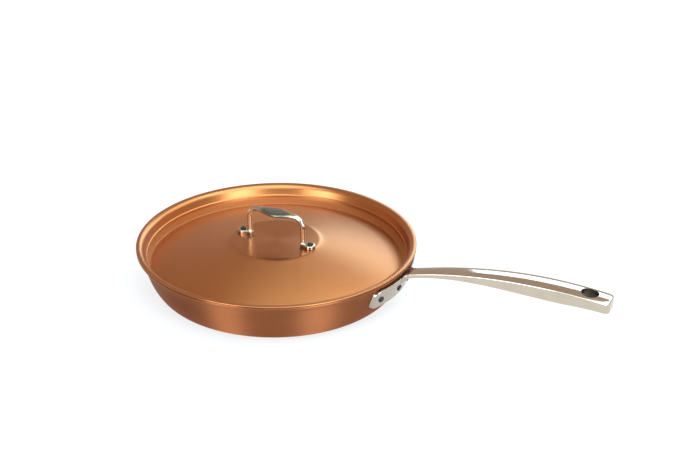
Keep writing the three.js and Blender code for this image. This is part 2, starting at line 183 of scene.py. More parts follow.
def turned_metal(name, dark, light, roughness, spread, ring_width, bump, anisotropy, zones=()):
    """Metal finished on a lathe: rings of fine scratches about the Z axis, which spread a highlight
    into a fan that runs out from the middle, over slow patches of tone. Each zone scales the
    roughness, from one factor to another between two radii."""
    material = bpy.data.materials.new(name)
    material.use_nodes = True
    tree = material.node_tree
    tree.nodes.clear()
    place = add(tree, "ShaderNodeTexCoord").outputs["Object"]
    flat = add(
        tree, "ShaderNodeVectorMath", {0: place, 1: (1, 1, 0)}, operation="MULTIPLY"
    ).outputs[0]
    radius = add(tree, "ShaderNodeVectorMath", {0: flat}, operation="LENGTH").outputs["Value"]
    around = add(tree, "ShaderNodeVectorMath", {0: flat}, operation="NORMALIZE").outputs[0]
    height = add(tree, "ShaderNodeSeparateXYZ", {0: place}).outputs["Z"]
    # Height counts more than radius, so that the rings go on up a steep wall.
    along = add(
        tree, "ShaderNodeMath", {0: height, 1: 1.7, 2: radius}, operation="MULTIPLY_ADD"
    ).outputs[0]
    ring = add(
        tree, "ShaderNodeMath", {0: along, 1: 1000 / ring_width}, operation="MULTIPLY"
    ).outputs[0]
    lift = add(tree, "ShaderNodeCombineXYZ", {"Z": ring}).outputs[0]
    groove = add(
        tree, "ShaderNodeVectorMath", {0: around, 1: (3, 3, 0), 2: lift}, operation="MULTIPLY_ADD"
    ).outputs[0]
    rings = add(
        tree, "ShaderNodeTexNoise", {"Vector": groove, "Scale": 1, "Detail": 3}
    ).outputs[0]
    patches = add(
        tree, "ShaderNodeTexNoise", {"Vector": place, "Scale": 14, "Detail": 3}
    ).outputs[0]
    mixed = add(tree, "ShaderNodeMix", {0: 0.4, 2: rings, 3: patches}).outputs[0]
    tone = add(tree, "ShaderNodeMapRange", {0: mixed, 1: 0.35, 2: 0.65}).outputs[0]
    tones = {0: tone, 6: linear(dark), 7: linear(light)}
    colour = add(tree, "ShaderNodeMix", tones, data_type="RGBA").outputs[2]
    scratches = {0: rings, 1: 0.3, 2: 0.7, 3: roughness - spread, 4: roughness + spread}
    rough = add(tree, "ShaderNodeMapRange", scratches).outputs[0]
    for start, end, inside, outside in zones:
        share = {0: radius, 1: start / 1000, 2: end / 1000, 3: inside, 4: outside}
        factor = add(tree, "ShaderNodeMapRange", share).outputs[0]
        rough = add(
            tree, "ShaderNodeMath", {0: rough, 1: factor}, operation="MULTIPLY"
        ).outputs[0]
    relief = add(tree, "ShaderNodeBump", {"Height": rings, "Strength": bump, "Distance": 0.0001})
    tangent = add(tree, "ShaderNodeTangent", direction_type="RADIAL", axis="Z")
    surface = {
        "Base Color": colour,
        "Metallic": 1,
        "Roughness": rough,
        "Anisotropic": anisotropy,
        "Anisotropic Rotation": 0.25,
        "Normal": relief.outputs[0],
        "Tangent": tangent.outputs[0],
    }
    shader = add(tree, "ShaderNodeBsdfPrincipled", surface)
    add(tree, "ShaderNodeOutputMaterial", {"Surface": shader.outputs[0]})
    return material


def finish_piece(piece, material, body, slot, *nodes):
    """Gives a piece its material, its body and the nodes it stands for. The slot is not used."""
    piece.data.materials.clear()
    piece.data.materials.append(material)
    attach(piece, body)
    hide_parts(*nodes)


# Spun copper, satin: a warm brown-orange metal with a broad soft sheen, a little smoother on the
# lip. Its colour is painted darker than the lid's copper, as shade for the dim floor near the pan
# that the wall mirrors. The rings are far finer than a millimetre in life and are drawn about one
# millimetre wide, so that they show.
spun_copper_shaded = turned_metal(
    "spun_copper_satin_shaded",
    "#8E5233",
    "#9E603C",
    roughness=0.56,
    spread=0.04,
    ring_width=0.9,
    bump=0.03,
    anisotropy=0.96,
    zones=((133, 136, 1, 0.75),),
)
outer = pan_skin(0, LIP_EDGE_RADIUS)
inner = pan_skin(PAN_COPPER)[:-FOLD_POINTS] + pan_skin(PAN_SHEET, LIP_EDGE_RADIUS)[-FOLD_POINTS:]
edge = sheet_edge(pan_skin(0)[-1], pan_skin(PAN_SHEET)[-1], LIP_LEAN, LIP_EDGE_RADIUS)
pan_copper = spin("pan_copper", outer + edge + inner[::-1])
finish_piece(pan_copper, spun_copper_shaded, "pan", "copper", "pan_shell")

# The lining is a thin stainless steel skin, rolled onto the copper before spinning. It covers the
# whole inside up to the lip, where the copper is folded over its edge.
PAN_BOND_GAP = 0.03

# Rolled stainless steel, satin: a pale neutral grey whose highlights blur across fine rings, drawn
# as coarse as the copper's.
rolled_steel = turned_metal(
    "rolled_stainless_satin",
    "#A9A7A3",
    "#C4C2BD",
    roughness=0.34,
    spread=0.04,
    ring_width=1.3,
    bump=0.04,
    anisotropy=0.5,
)
under = pan_skin(PAN_COPPER + PAN_BOND_GAP)[:-FOLD_POINTS]
over = pan_skin(PAN_SHEET)[:-FOLD_POINTS]
pan_lining = spin("pan_lining_skin", under + over[::-1])
finish_piece(pan_lining, rolled_steel, "pan", "lining_steel", "pan_lining")

# The handle is one stainless steel casting: a curved flange that lies on the wall and an arched bar
# that swells towards its end, with a hole to hang it by. It is ground, polished and drilled for the
# four rivets that hold it to the pan.
FLANGE_HALF_ANGLE = 21.2
FLANGE_TOP = PAN_HEIGHT - 4.2
FLANGE_FOOT = FLANGE_TOP - 20.5
FLANGE_CORNER = 6
FLANGE_MIDDLE = 5.5
FLANGE_END = 3.8
FLANGE_EDGE_RADIUS = 1.1
FLANGE_SINK = 0.5
FLANGE_BACK_INSETS = (9.5, 7, 4, 1, 0)
FLANGE_FACE_INSETS = (0, 0.02, 0.1, 0.25, 0.45, 0.7, 0.9, 1.1, 2, 4, 6, 8, 9.5)
FLANGE_GAP = 0.12
PLATE_CORNER_STEPS = 6
PLATE_SIDE_STEPS = 40
BAR_LENGTH = 205
BAR_END = RIM_RADIUS + BAR_LENGTH
BAR_ROOT_TOP = PAN_HEIGHT - 5.2
BAR_END_TOP = PAN_HEIGHT + 7.8
BAR_ARCH = 12
BAR_ROOT_WIDTH = 16
BAR_GRIP_WIDTH = 24.4
BAR_ROOT_HEIGHT = 5.6
BAR_GRIP_HEIGHT = 14.4
BAR_END_HEIGHT = 11.6
GRIP_START_SHARE = 0.05
GRIP_MIDDLE_SHARE = 0.73
BAR_CROWN = 0.4
CROWN_SHARE = 0.14
UPPER_EDGE_RADIUS = 0.8
LOWER_EDGE_RADIUS = 2.6
CROWN_STEPS = 20
BAR_SIDE_STEPS = 6
BAR_FOOT_STEPS = 10
BAR_EDGE_STEPS = 8
BAR_ROOT_DEPTH = 3
ROOT_FILLET = 6
FILLET_STEPS = 10
BAR_STEPS = 120
END_CORNER_RADIUS = 6.5
END_EDGE_RADIUS = 1.6
END_STEPS = 12
HOLE_RADIUS = 8.5
HOLE_INSET = 21.5
HOLE_DEPTH = 12.9
HOLE_EDGE_RADIUS = 0.7
HOLE_EDGE_STEPS = 5
HOLE_STEPS = 96
HOLE_PAST = 6
RIVET_HEIGHT = PAN_HEIGHT - 14.3
RIVET_ANGLES = (-17.8, -4.8, 4.8, 17.8)
RIVET_RADIUS = 3.1
RIVET_HOLE_GAP = 0.12
RIVET_STEPS = 48
MOUTH_RISE = 0.2
CAST_FOLD = 30


def wall_radius(height):
    """Radius of the pan's straight wall, outside, at a height."""
    return wall_foot.x + (height - wall_foot.y) * math.tan(math.radians(WALL_LEAN))


flange_mid_reach = wall_radius(FLANGE_TOP) + FLANGE_MIDDLE
flange_end_reach = wall_radius(FLANGE_TOP) + FLANGE_END
flange_cos = math.cos(math.radians(FLANGE_HALF_ANGLE))
flange_axis = flange_mid_reach**2 - flange_end_reach**2
flange_axis /= 2 * (flange_mid_reach - flange_end_reach * flange_cos)


def flange_radius(height):
    """Radius of the flange's outer face about the flange's own axis, at a height."""
    lean = (height - FLANGE_TOP) * math.tan(math.radians(WALL_LEAN))
    return flange_mid_reach - flange_axis + lean


def flange_face(y, z):
    """How far out the flange's outer face lies at a place across and up."""
    return flange_axis + math.sqrt(flange_radius(z) ** 2 - y**2)


def wall_face(y, z):
    """How far out the pan's wall lies at a place across and up, a little inside its face."""
    section = [p for p in pan_skin(0) if p.x > base_radius]
    low, high = next((a, b) for a, b in zip(section, section[1:]) if a.y <= z <= b.y)
    radius = low.x + (high.x - low.x) * (z - low.y) / (high.y - low.y)
    return math.sqrt((radius - FLANGE_SINK) ** 2 - y**2)


def rounded_plate(half_width, half_height, corner, inset):
    """Points of a rounded rectangle, drawn in by an inset, closely spaced along its long sides."""
    w, h = half_width - inset, max(half_height - inset, 0.02)
    r = max(min(corner - inset, h), 0.01)
    corners = ((w - r, h - r, 0), (r - w, h - r, 90), (r - w, r - h, 180), (w - r, r - h, 270))
    points = []
    for cx, cy, start in corners:
        points += arc((cx, cy), r, start, start + 90, PLATE_CORNER_STEPS)
        if start in (0, 180):
            last = points[-1]
            step = 2 * (w - r) / PLATE_SIDE_STEPS * (-1 if start == 0 else 1)
            points += [Vector((last.x + step * i, last.y)) for i in range(1, PLATE_SIDE_STEPS)]
    return points


def skin_rings(rings, mirrored=False):
    """Faces that join rings of equal length one after another and close both ends, a mirrored ring
    by a row of quads from its one half to the other."""
    size = len(rings[0])
    ends = [list(range(size))]
    if mirrored:
        ends = [[i, i + 1, size - 2 - i, size - 1 - i] for i in range(size // 2 - 1)]
    last = (len(rings) - 1) * size
    faces = [end[::-1] for end in ends] + [[last + i for i in end] for end in ends]
    for k in range(len(rings) - 1):
        for i in range(size):
            j = (i + 1) % size
            faces.append([k * size + i, k * size + j, (k + 1) * size + j, (k + 1) * size + i])
    return [p for ring in rings for p in ring], faces


def combine(piece, tool, operation):
    """Joins a tool to a piece, or cuts it from the piece, and takes the tool away."""
    change = piece.modifiers.new(operation, "BOOLEAN")
    change.object = tool
    change.operation = operation
    change.solver = "EXACT"
    evaluated = piece.evaluated_get(bpy.context.evaluated_depsgraph_get())
    mesh = bpy.data.meshes.new_from_object(evaluated)
    piece.modifiers.clear()
    piece.data = mesh
    bpy.data.objects.remove(tool)


flange_half_width = flange_end_reach * math.sin(math.radians(FLANGE_HALF_ANGLE))
flange_half_height = (FLANGE_TOP - FLANGE_FOOT) / 2
flange_middle = (FLANGE_TOP + FLANGE_FOOT) / 2
rings = []
for face, insets in ((wall_face, FLANGE_BACK_INSETS), (flange_face, FLANGE_FACE_INSETS)):
    for inset in insets:
        fall = 0
        if face is flange_face and inset < FLANGE_EDGE_RADIUS:
            side = FLANGE_EDGE_RADIUS - inset
            fall = FLANGE_EDGE_RADIUS - math.sqrt(FLANGE_EDGE_RADIUS**2 - side**2)
        ring = []
        for p in rounded_plate(flange_half_width, flange_half_height, FLANGE_CORNER, inset):
            z = flange_middle + p.y
            ring.append((face(p.x, z) - fall, p.x, z))
        rings.append(ring)
pan_handle = show("pan_handle_casting", *skin_rings(rings, True), CAST_FOLD)

bar_start = wall_radius(FLANGE_FOOT)
grip_start = RIM_RADIUS + BAR_LENGTH * GRIP_START_SHARE
grip_middle = RIM_RADIUS + BAR_LENGTH * GRIP_MIDDLE_SHARE
fillet_start = flange_face(0, FLANGE_TOP)
straight_end = BAR_END - END_CORNER_RADIUS


def ease(value, low, high):
    """Smooth step from 0 to 1."""
    t = min(max((value - low) / (high - low), 0), 1)
    return t * t * (3 - 2 * t)


def mix(a, b, share):
    """A value between two others."""
    return a + (b - a) * share


def bar_top(reach):
    """Height of the bar's arched top at a distance from the pan's axis."""
    share = (reach - bar_start) / (BAR_END - bar_start)
    return mix(BAR_ROOT_TOP, BAR_END_TOP, share) + 4 * BAR_ARCH * share * (1 - share)


def bar_ring(reach, spread=0.0, land=0.0, draw_in=0.0, edge_fall=0.0):
    """A section of the bar, with a crowned top between tight edges. Near the root it spreads and
    lands on the flange, near the end it draws in."""
    half = mix(BAR_ROOT_WIDTH, BAR_GRIP_WIDTH, ease(reach, bar_start, grip_middle)) / 2
    half += spread - draw_in
    height = mix(BAR_ROOT_HEIGHT, BAR_GRIP_HEIGHT, ease(reach, grip_start, grip_middle))
    height = mix(height, BAR_END_HEIGHT, ease(reach, grip_middle, BAR_END)) + spread
    crown = bar_top(reach) + BAR_CROWN - edge_fall
    foot = bar_top(reach) - height + edge_fall
    low = min(LOWER_EDGE_RADIUS, height / 2)
    # A few rounds find the place where the crown runs into the edge's arc without a kink.
    side = half - UPPER_EDGE_RADIUS
    for _ in range(4):
        tilt = math.atan(2 * CROWN_SHARE * side / half)
        side = half - UPPER_EDGE_RADIUS * (1 - math.sin(tilt))
    across = [side * (1 - 2 * i / CROWN_STEPS) for i in range(CROWN_STEPS + 1)]
    outline = [Vector((y, crown - CROWN_SHARE * y * y / half)) for y in across]
    high = outline[0].y - UPPER_EDGE_RADIUS * math.cos(tilt)
    tilt = math.degrees(tilt)
    edge, steps = half - UPPER_EDGE_RADIUS, BAR_EDGE_STEPS
    up = [i / BAR_SIDE_STEPS for i in range(1, BAR_SIDE_STEPS)]
    along = [i / BAR_FOOT_STEPS for i in range(1, BAR_FOOT_STEPS)]
    outline += arc((-edge, high), UPPER_EDGE_RADIUS, 90 + tilt, 180, steps)[1:]
    outline += [Vector((-half, mix(high, foot + low, share))) for share in up]
    outline += arc((low - half, foot + low), low, 180, 270, steps)
    outline += [Vector((mix(low - half, half - low, share), foot)) for share in along]
    outline += arc((half - low, foot + low), low, 270, 360, steps)
    outline += [Vector((half, mix(foot + low, high, share))) for share in up]
    outline += arc((edge, high), UPPER_EDGE_RADIUS, 0, 90 - tilt, steps)[:-1]
    return [(reach + land * (flange_face(p.x, p.y) - fillet_start), p.x, p.y) for p in outline]


rings = [bar_ring(bar_start), bar_ring(fillet_start - BAR_ROOT_DEPTH)]
for i in range(FILLET_STEPS + 1):
    turn = math.radians(90 * i / FILLET_STEPS)
    reach = fillet_start + ROOT_FILLET * (1 - math.cos(turn))
    rings.append(bar_ring(reach, ROOT_FILLET * (1 - math.sin(turn)), 1 - i / FILLET_STEPS))
for i in range(1, BAR_STEPS + 1):
    rings.append(bar_ring(mix(fillet_start + ROOT_FILLET, straight_end, i / BAR_STEPS)))
for i in range(1, END_STEPS + 1):
    past = END_CORNER_RADIUS * math.sin(math.radians(90 * i / END_STEPS))
    draw_in = END_CORNER_RADIUS - math.sqrt(max(END_CORNER_RADIUS**2 - past**2, 0))
    near_end = max(0, past - END_CORNER_RADIUS + END_EDGE_RADIUS)
    fall = END_EDGE_RADIUS - math.sqrt(max(END_EDGE_RADIUS**2 - near_end**2, 0))
    rings.append(bar_ring(straight_end + past, 0, 0, draw_in, fall))
combine(pan_handle, show("bar", *skin_rings(rings), CAST_FOLD), "UNION")

pan_space = pan_skin(-FLANGE_GAP)
pan_space.append(Vector((0, pan_space[-1].y)))
combine(pan_handle, spin("pan_space", pan_space), "DIFFERENCE")

# The hanging hole stands square to the bar's top, whose slope is taken over a millimetre.
hole_reach = BAR_END - HOLE_INSET
hole_slope = math.atan(bar_top(hole_reach + 0.5) - bar_top(hole_reach - 0.5))
hole_mouth = HOLE_RADIUS + HOLE_EDGE_RADIUS
hole_foot = -HOLE_DEPTH + HOLE_EDGE_RADIUS
hole_outline = [Vector((0, -HOLE_DEPTH - HOLE_PAST)), Vector((hole_mouth, -HOLE_DEPTH - HOLE_PAST))]
hole_outline += arc((hole_mouth, hole_foot), HOLE_EDGE_RADIUS, 270, 180, HOLE_EDGE_STEPS)
hole_outline += arc((hole_mouth, -HOLE_EDGE_RADIUS), HOLE_EDGE_RADIUS, 180, 90, HOLE_EDGE_STEPS)
hole_outline += [Vector((hole_mouth, HOLE_PAST)), Vector((0, HOLE_PAST))]
hole = spin("hanging_hole", hole_outline, HOLE_STEPS)
hole_top = (bar_top(hole_reach) + BAR_CROWN) / 1000
hole_place = Matrix.Translation((hole_reach / 1000, 0, hole_top))
hole.data.transform(hole_place @ Matrix.Rotation(-hole_slope, 4, "Y"))
combine(pan_handle, hole, "DIFFERENCE")


def drill(piece, place, radius, grip, start, sink, flare, past):
    """Cuts a rivet's bore from a piece, from a start on its axis to past the face at the end of the
    grip, where the mouth flares a little."""
    wide, top = radius + flare, grip + past
    outline = [(0, start), (radius, start), (radius, grip - sink)]
    outline += [(wide, grip + MOUTH_RISE), (wide, top), (0, top)]
    tool = spin("rivet_bore", [Vector(p) for p in outline], RIVET_STEPS)
    tool.data.transform(place)
    combine(piece, tool, "DIFFERENCE")


rivet_seats = []
for angle in RIVET_ANGLES:
    seat = Vector((wall_radius(RIVET_HEIGHT), RIVET_HEIGHT)) - out_of(WALL_LEAN) * PAN_SHEET
    turn = math.radians(angle)
    across = flange_axis * math.sin(turn)
    cover = flange_axis * math.cos(turn) + math.sqrt(flange_radius(RIVET_HEIGHT) ** 2 - across**2)
    cover -= wall_radius(RIVET_HEIGHT)
    grip = PAN_SHEET + cover * math.cos(math.radians(WALL_LEAN))
    place = Matrix.Rotation(turn, 4, "Z") @ Matrix.Translation((seat.x / 1000, 0, seat.y / 1000))
    place = place @ Matrix.Rotation(math.radians(90 + WALL_LEAN), 4, "Y")
    rivet_seats.append((place, grip))
    bore = RIVET_RADIUS + RIVET_HOLE_GAP
    drill(pan_handle, place, bore, grip, start=1.5, sink=0.15, flare=0.35, past=4)


def polished_casting(name, dark, light, roughness, dull_shaded_fields):
    """Cast stainless steel, ground and polished: bright and warm grey, with faint waves of the
    casting and hair lines from the polishing belt along X, drawn coarser than in life at 0.7 mm.
    Dull fields lie round axes that start at a reach along X and may lean, each with a radius and a
    blend at its edge. Each field is rougher and mixes in its own darker colour, which is painted
    shade."""
    material = bpy.data.materials.new(name)
    material.use_nodes = True
    tree = material.node_tree
    tree.nodes.clear()
    place = add(tree, "ShaderNodeTexCoord").outputs["Object"]
    hair = add(
        tree, "ShaderNodeVectorMath", {0: place, 1: (25, 1400, 1400)}, operation="MULTIPLY"
    ).outputs[0]
    lines = add(tree, "ShaderNodeTexNoise", {"Vector": hair, "Scale": 1, "Detail": 2}).outputs[0]
    waves = add(tree, "ShaderNodeTexNoise", {"Vector": place, "Scale": 60, "Detail": 2}).outputs[0]
    mixed = add(tree, "ShaderNodeMix", {0: 0.5, 2: lines, 3: waves}).outputs[0]
    tone = add(tree, "ShaderNodeMapRange", {0: mixed, 1: 0.35, 2: 0.65}).outputs[0]
    tones = {0: tone, 6: linear(dark), 7: linear(light)}
    colour = add(tree, "ShaderNodeMix", tones, data_type="RGBA").outputs[2]
    scratches = {0: lines, 1: 0.3, 2: 0.7, 3: roughness - 0.03, 4: roughness + 0.04}
    rough = add(tree, "ShaderNodeMapRange", scratches).outputs[0]
    flat = add(
        tree, "ShaderNodeVectorMath", {0: place, 1: (1, 1, 0)}, operation="MULTIPLY"
    ).outputs[0]
    height = add(tree, "ShaderNodeSeparateXYZ", {0: place}).outputs["Z"]
    # Each field is rougher and is painted a darker colour as shade.
    for field in dull_shaded_fields:
        line = {0: height, 1: field["lean"], 2: field["reach"] / 1000}
        line = add(tree, "ShaderNodeMath", line, operation="MULTIPLY_ADD").outputs[0]
        axis = add(tree, "ShaderNodeCombineXYZ", {"X": line}).outputs[0]
        apart = add(
            tree, "ShaderNodeVectorMath", {0: flat, 1: axis}, operation="DISTANCE"
        ).outputs["Value"]
        inside, outside = field["radius"] / 1000, (field["radius"] + field["blend"]) / 1000
        edge = {0: apart, 1: inside, 2: outside, 3: 1, 4: 0}
        share = add(tree, "ShaderNodeMapRange", edge).outputs[0]
        tones = {0: share, 6: colour, 7: linear(field["colour"])}
        colour = add(tree, "ShaderNodeMix", tones, data_type="RGBA").outputs[2]
        sheen = {0: share, 2: rough, 3: field["roughness"]}
        rough = add(tree, "ShaderNodeMix", sheen).outputs[0]
    fine = add(tree, "ShaderNodeBump", {"Height": lines, "Strength": 0.03, "Distance": 0.0001})
    slow = {"Height": waves, "Strength": 0.03, "Distance": 0.001, "Normal": fine.outputs[0]}
    relief = add(tree, "ShaderNodeBump", slow)
    surface = {
        "Base Color": colour,
        "Metallic": 1,
        "Roughness": rough,
        "Normal": relief.outputs[0],
    }
    shader = add(tree, "ShaderNodeBsdfPrincipled", surface)
    add(tree, "ShaderNodeOutputMaterial", {"Surface": shader.outputs[0]})
    return material


# Cast stainless steel, polished: the bar mirrors the room in long bright and dark bands. The flange
# is left satin, with a slightly darker grey painted on as shade, and looks flat and pale. The
# hole's bore is unpolished and rougher, and is painted dark as shade in the hole.
hole_lean = math.tan(-hole_slope)
hole_start = hole_reach - bar_top(hole_reach) * hole_lean
# The satin flange's darker grey is painted shade.
satin_shaded_flange = dict(
    reach=0,
    lean=0,
    radius=flange_mid_reach,
    blend=6,
    colour="#AFA392",
    roughness=0.27,
)
# The bore's dark colour is painted shade in the hole.
unpolished_shaded_bore = dict(
    reach=hole_start,
    lean=hole_lean,
    radius=HOLE_RADIUS,
    blend=0.4,
    colour="#453F35",
    roughness=0.45,
)
cast_steel = polished_casting(
    "cast_stainless_polished",
    "#BFB09D",
    "#C7B8A5",
    roughness=0.08,
    dull_shaded_fields=(satin_shaded_flange, unpolished_shaded_bore),
)
pan_handle.data.shade_smooth()
pan_handle.data.set_sharp_from_angle(angle=math.radians(CAST_FOLD))
finish_piece(pan_handle, cast_steel, "pan", "cast_steel", "pan_handle")

# Rivets of stainless steel hold the flange to the wall. Each has a low head on the lining, and its
# other end is hammered down to a soft edge and stands a little proud of the flange.
RIVET_HEAD_RADIUS = 3.9
RIVET_HEAD_HEIGHT = 0.5
RIVET_HEAD_GAP = 0.3
RIVET_STAND = 1.4
HEAD_ROUNDING = ((1.4, 0), (0.6, 0.08), (0.15, 0.25))
END_ROUNDING = ((0.12, 0.6), (0.5, 0.9))
END_FLAT_SHARE = 0.4


def rivet_outline(radius, grip):
    """A rivet's section along its axis, with a low rounded head and a softly upset end."""
    low = -RIVET_HEAD_GAP - RIVET_HEAD_HEIGHT
    top = grip + RIVET_STAND
    points = [(0, low)]
    points += [(RIVET_HEAD_RADIUS - draw_in, low + rise) for draw_in, rise in HEAD_ROUNDING]
    points += [(RIVET_HEAD_RADIUS, -RIVET_HEAD_GAP), (radius, -RIVET_HEAD_GAP), (radius, grip)]
    points += [(radius - draw_in, grip + RIVET_STAND * share) for draw_in, share in END_ROUNDING]
    return [Vector(p) for p in points + [(radius * END_FLAT_SHARE, top), (0, top)]]


# Upset rivet steel: nearly black against the bright casting.
upset_steel = turned_metal(
    "upset_rivet_steel",
    "#211F1D",
    "#35322F",
    roughness=0.38,
    spread=0.05,
    ring_width=0.5,
    bump=0.1,
    anisotropy=0.0,
)
for count, (place, grip) in enumerate(rivet_seats, 1):
    outline = rivet_outline(RIVET_RADIUS, grip)
    rivet = spin("handle_rivet_piece_%d" % count, outline, RIVET_STEPS)
    rivet.data.transform(place)
    finish_piece(rivet, upset_steel, "pan", "rivet_steel", "handle_rivet_%d" % count)

# The lid is pressed from thinner copper. Its flared rim lies in the pan's lip, a collar and a wall
# go down to a valley, and a shallow dome rises to a flat round plateau under the grip.
LID_COPPER = 0.93
LID_SHEET = 1.3
SEAT_GAP = 0.3
LID_COLLAR = 6.4
LID_WALL_LEAN = 28
LID_WALL_LENGTH = 4.9
VALLEY_RADIUS = 5
BEAD_RADIUS = 0.9
BEAD_LEAN = 14
BEAD_STEPS = 14
DOME_RADIUS = 369
DOME_STEPS = 30
PLATEAU_RADIUS = 44
PLATEAU_RUN = 4
PLATEAU_RISE = 0.9
PLATEAU_EDGE = (42, 53)
PLATEAU_INNER_SHARE = 0.6
PLATEAU_STEPS = 15
LID_EDGE_RADIUS = 0.62
LID_STEP = (
    (129.2, 38.9),
    (129.23, 39.1),
    (129.33, 39.28),
    (129.5, 39.4),
    (129.95, 39.62),
    (130.22, 39.85),
    (130.42, 40.2),
)

lid_depth = PAN_SHEET + SEAT_GAP + LID_SHEET
flare_foot = lip_centre - out_of(WALL_LEAN) * (LIP_RADIUS + lid_depth)
collar_foot = flare_foot - up_along(WALL_LEAN) * LID_COLLAR
lid_wall_foot = collar_foot - up_along(LID_WALL_LEAN) * LID_WALL_LENGTH
valley_centre = lid_wall_foot - out_of(LID_WALL_LEAN) * VALLEY_RADIUS
dome_slope = math.asin(valley_centre.x / (DOME_RADIUS + VALLEY_RADIUS))
dome_centre = (0, valley_centre.y - (DOME_RADIUS + VALLEY_RADIUS) * math.cos(dome_slope))
dome_head = math.asin((PLATEAU_RADIUS + PLATEAU_RUN) / DOME_RADIUS)
plateau_height = dome_centre[1] + DOME_RADIUS * math.cos(dome_head) + PLATEAU_RISE
bead_side = Vector(LID_STEP[0]) - out_of(BEAD_LEAN) * BEAD_RADIUS - Vector(dome_centre)
bead_drop = bead_side.dot(up_along(BEAD_LEAN))
bead_drop -= math.sqrt(bead_drop**2 - bead_side.length_squared + (DOME_RADIUS + BEAD_RADIUS) ** 2)
bead_centre = Vector(dome_centre) + bead_side - up_along(BEAD_LEAN) * bead_drop
bead_slope = math.degrees(math.asin(bead_centre.x / (DOME_RADIUS + BEAD_RADIUS)))


def lid_skin(depth, short=0.0):
    """The lid's section from its axis to its rim, at a depth under the upper face."""
    top = plateau_height - depth
    points = [Vector((0, top)), Vector((PLATEAU_EDGE[0] * PLATEAU_INNER_SHARE, top))]
    head = math.degrees(math.asin(PLATEAU_EDGE[1] / (DOME_RADIUS - depth)))
    dome = arc(dome_centre, DOME_RADIUS - depth, 90 - head, 90 - bead_slope, DOME_STEPS)
    fall = math.tan(math.radians(head)) * (PLATEAU_EDGE[1] - PLATEAU_EDGE[0])
    for i in range(PLATEAU_STEPS):
        s = i / PLATEAU_STEPS
        height = mix(top, dome[0].y, ease(s, 0, 1)) + fall * s * s * (1 - s)
        points.append(Vector((mix(*PLATEAU_EDGE, s), height)))
    points += dome
    points += arc(bead_centre, BEAD_RADIUS + depth, -90 - bead_slope, -BEAD_LEAN, BEAD_STEPS)[1:]
    if depth == 0:
        points += [Vector(p) for p in LID_STEP]
    else:
        points.append(Vector(LID_STEP[0]) + out_of(BEAD_LEAN) * depth)
    return points + lip_skin(lid_depth - depth, short)


# Pressed copper, turned bright: finer and smoother than the pan's wall, so that a highlight draws a
# fan across the dome. The plateau and the flare are smoother still, and the valley is duller.
turned_copper = turned_metal(
    "pressed_copper_turned",
    "#B2703F",
    "#B67443",
    roughness=0.38,
    spread=0.012,
    ring_width=0.6,
    bump=0.002,
    anisotropy=0.5,
    zones=((44, 49, 0.5, 1), (123, 126, 1, 1.8), (128.3, 128.9, 1, 0.5), (132, 135, 1, 0.8)),
)
upper = lid_skin(0, LID_EDGE_RADIUS)
lower = lid_skin(LID_COPPER)[:-FOLD_POINTS] + lid_skin(LID_SHEET, LID_EDGE_RADIUS)[-FOLD_POINTS:]
edge = sheet_edge(lid_skin(LID_SHEET)[-1], lid_skin(0)[-1], LIP_LEAN, LID_EDGE_RADIUS)
lid_copper = spin("lid_copper", lower + edge + upper[::-1])
finish_piece(lid_copper, turned_copper, "lid", "copper", "lid_shell")

# A thin stainless steel skin lines the lid's underside. It is rolled onto the copper as the pan's
# is, and reaches to the fold of the copper at the rim.
LID_BOND_GAP = 0.02
lower = lid_skin(LID_SHEET)[:-FOLD_POINTS]
upper = lid_skin(LID_COPPER + LID_BOND_GAP)[:-FOLD_POINTS]
lid_lining = spin("lid_lining_skin", lower + upper[::-1])
finish_piece(lid_lining, rolled_steel, "lid", "lining_steel", "lid_lining")

# The lid's grip is a small stainless steel casting: a round rod up each leg, a flat leaf between
# the bends for the fingers, and at each foot a lug that is drilled for a rivet. The lid lies a
# little turned in the pan, and the grip with it.
LID_TURN = -6
LEG_AT = 30.6
LEG_RADIUS = 2.5
LEG_SINK = 0.6
LEG_FILLET = 1.2
LEG_STEPS = 16
BEND_RADIUS = 10
BEND_STEPS = 14
GRIP_HEIGHT = 29.4
GRIP_WIDTH = 17.5
GRIP_THICKNESS = 3.8
GRIP_STEPS = 20
LEAF_SQUARENESS = 0.62
RING_POINTS = 40
LUG_RADIUS = 5.6
LUG_FOOT_RADIUS = 2.9
LUG_THICKNESS = 3.2
LUG_EDGE_RADIUS = 0.9
LUG_EDGE_STEPS = 6
LUG_ROUND_STEPS = 36
LUG_FOOT_STEPS = 20
LID_RIVET_AT = 38.5
LID_RIVET_RADIUS = 2.8

lug_foot = plateau_height + SEAT_GAP
grip_top = lug_foot + GRIP_HEIGHT
leg_foot = lug_foot + LUG_THICKNESS - LEG_SINK
bend_centre = (BEND_RADIUS - LEG_AT, grip_top - BEND_RADIUS)
spine = []
for i in range(LEG_STEPS):
    spine.append((-LEG_AT, mix(leg_foot, bend_centre[1], i / LEG_STEPS), 0, 1))
for i in range(BEND_STEPS + 1):
    turn = math.radians(180 - 90 * i / BEND_STEPS)
    x = bend_centre[0] + BEND_RADIUS * math.cos(turn)
    z = bend_centre[1] + BEND_RADIUS * math.sin(turn)
    spine.append((x, z, math.sin(turn), -math.cos(turn)))
for i in range(1, GRIP_STEPS):
    spine.append((mix(bend_centre[0], 0, i / GRIP_STEPS), grip_top, 1, 0))
spine += [(0, grip_top, 1, 0)] + [(-x, z, dx, -dz) for x, z, dx, dz in spine[::-1]]
leaf_reach = LEG_AT - BEND_RADIUS / 2
rings = []
